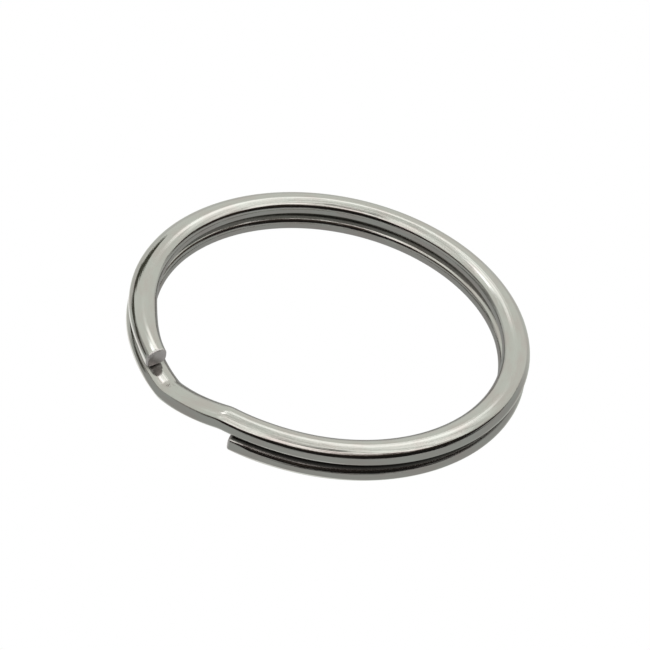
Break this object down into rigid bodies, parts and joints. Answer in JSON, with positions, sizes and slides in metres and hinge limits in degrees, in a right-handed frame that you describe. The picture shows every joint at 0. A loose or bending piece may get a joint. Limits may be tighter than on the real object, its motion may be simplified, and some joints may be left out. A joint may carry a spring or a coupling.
{
  "type": "split key ring",
  "caption": "Flat split key ring: one plated spring-steel wire in two touching turns with an S-bend crossover; either free end springs open to take a key.",
  "frame": {"origin": "centre of the ring on the plane that it lies on, so the wire's lowest lands are at z = 0", "axes": "+Z along the ring's own axis, up; -Y points from the centre to the middle of the crossover bend"},
  "size_m": [0.03, 0.0302, 0.0029],
  "materials": {
    "plated_wire": "bright nickel plate over spring steel, polished, with fine drawing lines along the wire"
  },
  "bodies": {
    "crossover": {"crossover_bend": "plated_wire"},
    "upper_turn_01": {"upper_turn_01": "plated_wire"},
    "upper_turn_02": {"upper_turn_02": "plated_wire"},
    "upper_turn_03": {"upper_turn_03": "plated_wire"},
    "upper_turn_04": {"upper_turn_04": "plated_wire"},
    "upper_turn_05": {"upper_turn_05": "plated_wire"},
    "upper_turn_06": {"upper_turn_06": "plated_wire"},
    "upper_turn_07": {"upper_turn_07": "plated_wire"},
    "upper_turn_08": {"upper_turn_08": "plated_wire"},
    "upper_turn_09": {"upper_turn_09": "plated_wire"},
    "upper_turn_10": {"upper_turn_10": "plated_wire"},
    "upper_free_end": {"upper_free_end": "plated_wire"},
    "lower_turn_01": {"lower_turn_01": "plated_wire"},
    "lower_turn_02": {"lower_turn_02": "plated_wire"},
    "lower_turn_03": {"lower_turn_03": "plated_wire"},
    "lower_turn_04": {"lower_turn_04": "plated_wire"},
    "lower_turn_05": {"lower_turn_05": "plated_wire"},
    "lower_turn_06": {"lower_turn_06": "plated_wire"},
    "lower_turn_07": {"lower_turn_07": "plated_wire"},
    "lower_turn_08": {"lower_turn_08": "plated_wire"},
    "lower_turn_09": {"lower_turn_09": "plated_wire"},
    "lower_turn_10": {"lower_turn_10": "plated_wire"},
    "lower_free_end": {"lower_free_end": "plated_wire"}
  },
  "joints": [
    {"name": "upper_flex_01", "type": "hinge", "parent": "crossover", "child": "upper_turn_01", "pos_m": [0.00359, -0.01359, 0.00216], "axis": [0.9668, 0.2554, 0], "range_deg": [0, 0.1], "stiffness_Nm_per_rad": 6.58},
    {"name": "upper_flex_02", "type": "hinge", "parent": "upper_turn_01", "child": "upper_turn_02", "pos_m": [0.00977, -0.00996, 0.00216], "axis": [0.7138, 0.7003, 0], "range_deg": [0, 0.32], "stiffness_Nm_per_rad": 6.58},
    {"name": "upper_flex_03", "type": "hinge", "parent": "upper_turn_02", "child": "upper_turn_03", "pos_m": [0.01342, -0.00382, 0.00216], "axis": [0.2738, 0.9618, 0], "range_deg": [0, 0.62], "stiffness_Nm_per_rad": 6.58},
    {"name": "upper_flex_04", "type": "hinge", "parent": "upper_turn_03", "child": "upper_turn_04", "pos_m": [0.01355, 0.00332, 0.00216], "axis": [-0.2379, 0.9713, 0], "range_deg": [0, 0.9], "stiffness_Nm_per_rad": 6.58},
    {"name": "upper_flex_05", "type": "hinge", "parent": "upper_turn_04", "child": "upper_turn_05", "pos_m": [0.01013, 0.00959, 0.00216], "axis": [-0.6873, 0.7264, 0], "range_deg": [0, 1.11], "stiffness_Nm_per_rad": 6.58},
    {"name": "upper_flex_06", "type": "hinge", "parent": "upper_turn_05", "child": "upper_turn_06", "pos_m": [0.00406, 0.01335, 0.00216], "axis": [-0.9567, 0.2912, 0], "range_deg": [0, 1.17], "stiffness_Nm_per_rad": 6.58},
    {"name": "upper_flex_07", "type": "hinge", "parent": "upper_turn_06", "child": "upper_turn_07", "pos_m": [-0.00307, 0.01361, 0.00216], "axis": [-0.9754, -0.2203, 0], "range_deg": [0, 1.08], "stiffness_Nm_per_rad": 6.58},
    {"name": "upper_flex_08", "type": "hinge", "parent": "upper_turn_07", "child": "upper_turn_08", "pos_m": [-0.0094, 0.0103, 0.00216], "axis": [-0.7387, -0.6741, 0], "range_deg": [0, 0.87], "stiffness_Nm_per_rad": 6.58},
    {"name": "upper_flex_09", "type": "hinge", "parent": "upper_turn_08", "child": "upper_turn_09", "pos_m": [-0.01327, 0.0043, 0.00216], "axis": [-0.3084, -0.9513, 0], "range_deg": [0, 0.57], "stiffness_Nm_per_rad": 6.58},
    {"name": "upper_flex_10", "type": "hinge", "parent": "upper_turn_09", "child": "upper_turn_10", "pos_m": [-0.01366, -0.00283, 0.00216], "axis": [0.2026, -0.9793, 0], "range_deg": [0, 0.28], "stiffness_Nm_per_rad": 6.58},
    {"name": "upper_flex_11", "type": "hinge", "parent": "upper_turn_10", "child": "upper_free_end", "pos_m": [-0.01047, -0.00922, 0.00216], "axis": [0.6606, -0.7507, 0], "range_deg": [0, 0.07], "stiffness_Nm_per_rad": 6.58},
    {"name": "lower_flex_01", "type": "hinge", "parent": "crossover", "child": "lower_turn_01", "pos_m": [-0.00359, -0.01359, 0.00071], "axis": [-0.9668, 0.2554, 0], "range_deg": [0, 0.08], "stiffness_Nm_per_rad": 6.5},
    {"name": "lower_flex_02", "type": "hinge", "parent": "lower_turn_01", "child": "lower_turn_02", "pos_m": [-0.00984, -0.00989, 0.00071], "axis": [-0.7089, 0.7053, 0], "range_deg": [0, 0.29], "stiffness_Nm_per_rad": 6.5},
    {"name": "lower_flex_03", "type": "hinge", "parent": "lower_turn_02", "child": "lower_turn_03", "pos_m": [-0.01347, -0.00363, 0.00071], "axis": [-0.2604, 0.9655, 0], "range_deg": [0, 0.59], "stiffness_Nm_per_rad": 6.5},
    {"name": "lower_flex_04", "type": "hinge", "parent": "lower_turn_03", "child": "lower_turn_04", "pos_m": [-0.01348, 0.0036, 0.00071], "axis": [0.2582, 0.9661, 0], "range_deg": [0, 0.89], "stiffness_Nm_per_rad": 6.5},
    {"name": "lower_flex_05", "type": "hinge", "parent": "lower_turn_04", "child": "lower_turn_05", "pos_m": [-0.00986, 0.00987, 0.00071], "axis": [0.7073, 0.7069, 0], "range_deg": [0, 1.11], "stiffness_Nm_per_rad": 6.5},
    {"name": "lower_flex_06", "type": "hinge", "parent": "lower_turn_05", "child": "lower_turn_06", "pos_m": [-0.00359, 0.01348, 0.00071], "axis": [0.9663, 0.2576, 0], "range_deg": [0, 1.19], "stiffness_Nm_per_rad": 6.5},
    {"name": "lower_flex_07", "type": "hinge", "parent": "lower_turn_06", "child": "lower_turn_07", "pos_m": [0.00364, 0.01347, 0.00071], "axis": [0.9653, -0.261, 0], "range_deg": [0, 1.11], "stiffness_Nm_per_rad": 6.5},
    {"name": "lower_flex_08", "type": "hinge", "parent": "lower_turn_07", "child": "lower_turn_08", "pos_m": [0.0099, 0.00983, 0.00071], "axis": [0.7049, -0.7093, 0], "range_deg": [0, 0.89], "stiffness_Nm_per_rad": 6.5},
    {"name": "lower_flex_09", "type": "hinge", "parent": "lower_turn_08", "child": "lower_turn_09", "pos_m": [0.01349, 0.00355, 0.00071], "axis": [0.2548, -0.967, 0], "range_deg": [0, 0.59], "stiffness_Nm_per_rad": 6.5},
    {"name": "lower_flex_10", "type": "hinge", "parent": "lower_turn_09", "child": "lower_turn_10", "pos_m": [0.01346, -0.00368, 0.00071], "axis": [-0.2637, -0.9646, 0], "range_deg": [0, 0.29], "stiffness_Nm_per_rad": 6.5},
    {"name": "lower_flex_11", "type": "hinge", "parent": "lower_turn_10", "child": "lower_free_end", "pos_m": [0.0098, -0.00992, 0.00071], "axis": [-0.7114, -0.7028, 0], "range_deg": [0, 0.08], "stiffness_Nm_per_rad": 6.5}
  ]
}
